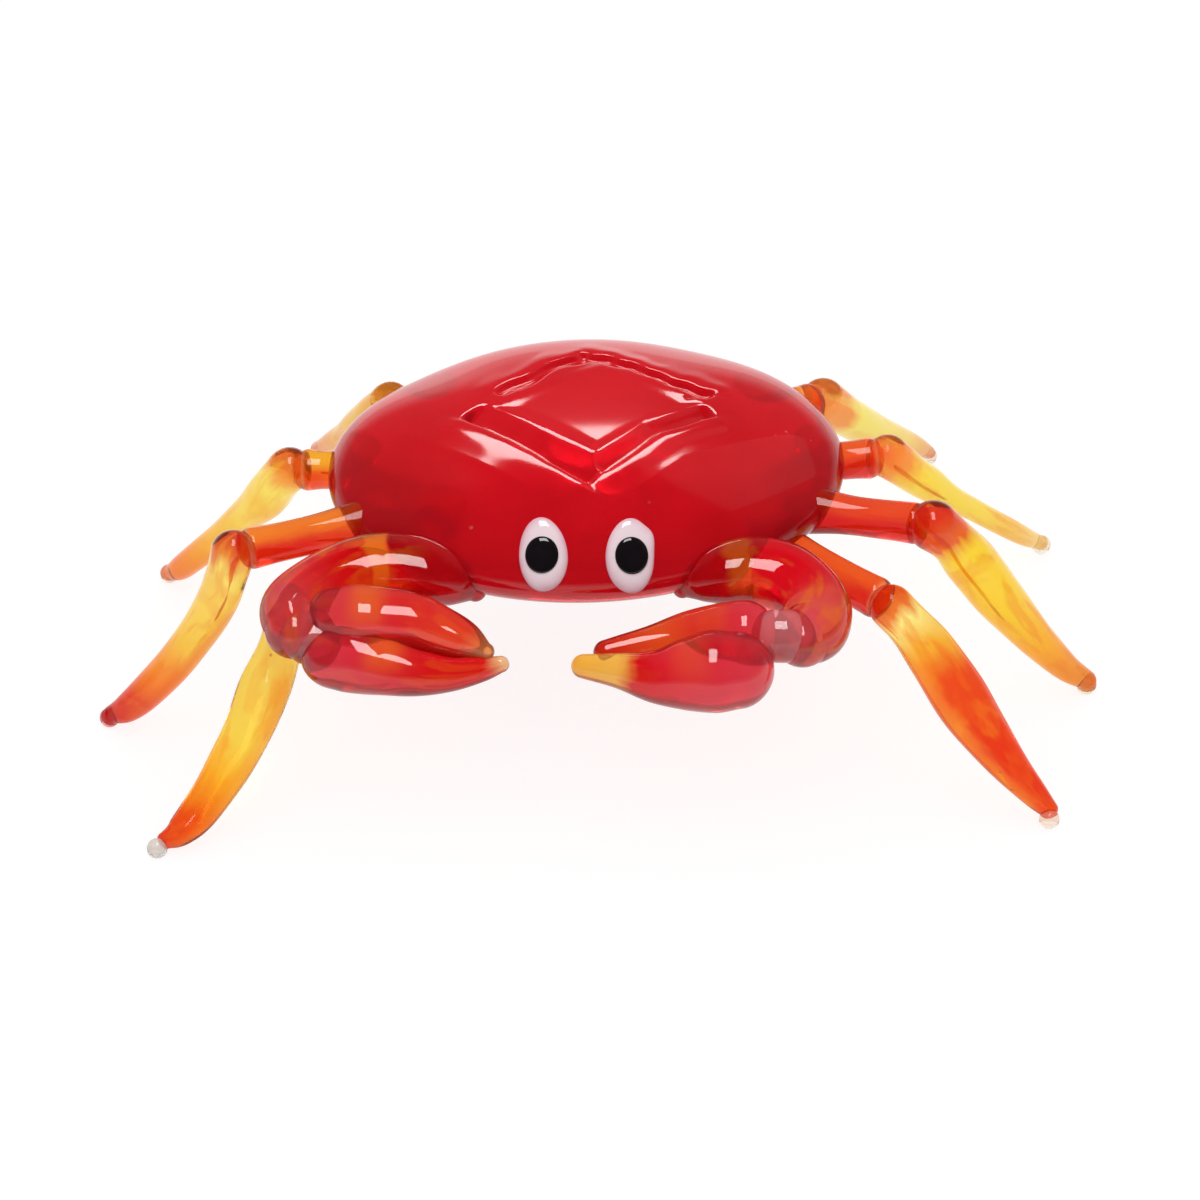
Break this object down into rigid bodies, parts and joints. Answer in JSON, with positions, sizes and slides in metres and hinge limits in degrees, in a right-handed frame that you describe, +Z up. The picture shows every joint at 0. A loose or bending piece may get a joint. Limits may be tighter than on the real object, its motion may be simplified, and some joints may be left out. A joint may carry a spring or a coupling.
{
  "type": "glass crab figurine",
  "caption": "Flame-worked glass crab figurine with a domed shell, bent claws and drawn-out legs, standing on small flat foot dabs.",
  "frame": {"origin": "on the surface that the feet stand on, under the middle of the figure's bounding box", "axes": "+Z is up, the crab faces -Y, and +X is to the right for somebody who looks at the crab's face"},
  "size_m": [0.1213, 0.0834, 0.0338],
  "materials": {
    "shell_glass": "fire-polished transparent deep red",
    "claw_glass": "fire-polished transparent red with orange streaks",
    "leg_rod_glass": "fire-polished, yellow-orange above and orange-red below",
    "leg_blade_glass": "fire-polished, yellow drawn out to orange with a pale tip",
    "foot_glass": "clear with a milky cast, flat underneath",
    "eye_white_glass": "milky opaque white",
    "eye_black_glass": "glossy opaque black"
  },
  "bodies": {
    "root": {"shell": "shell_glass", "eye_white_left": "eye_white_glass", "eye_pupil_left": "eye_black_glass", "claw_arm_left": "claw_glass", "wrist_collar_left": "claw_glass", "claw_lower_finger_left": "claw_glass", "claw_upper_finger_left": "claw_glass", "eye_white_right": "eye_white_glass", "eye_pupil_right": "eye_black_glass", "claw_arm_right": "claw_glass", "wrist_collar_right": "claw_glass", "claw_lower_finger_right": "claw_glass", "claw_upper_finger_right": "claw_glass", "leg_rod_left_rear": "leg_rod_glass", "leg_blade_left_rear": "leg_blade_glass", "foot_dab_left_rear": "foot_glass", "leg_rod_left_mid_rear": "leg_rod_glass", "leg_blade_left_mid_rear": "leg_blade_glass", "foot_dab_left_mid_rear": "foot_glass", "leg_rod_left_mid_front": "leg_rod_glass", "leg_blade_left_mid_front": "leg_blade_glass", "foot_dab_left_mid_front": "foot_glass", "leg_rod_left_front": "leg_rod_glass", "leg_blade_left_front": "leg_blade_glass", "foot_dab_left_front": "foot_glass", "leg_rod_right_rear": "leg_rod_glass", "leg_blade_right_rear": "leg_blade_glass", "foot_dab_right_rear": "foot_glass", "leg_rod_right_mid_rear": "leg_rod_glass", "leg_blade_right_mid_rear": "leg_blade_glass", "foot_dab_right_mid_rear": "foot_glass", "leg_rod_right_mid_front": "leg_rod_glass", "leg_blade_right_mid_front": "leg_blade_glass", "foot_dab_right_mid_front": "foot_glass", "leg_rod_right_front": "leg_rod_glass", "leg_blade_right_front": "leg_blade_glass", "foot_dab_right_front": "foot_glass"}
  },
  "joints": []
}
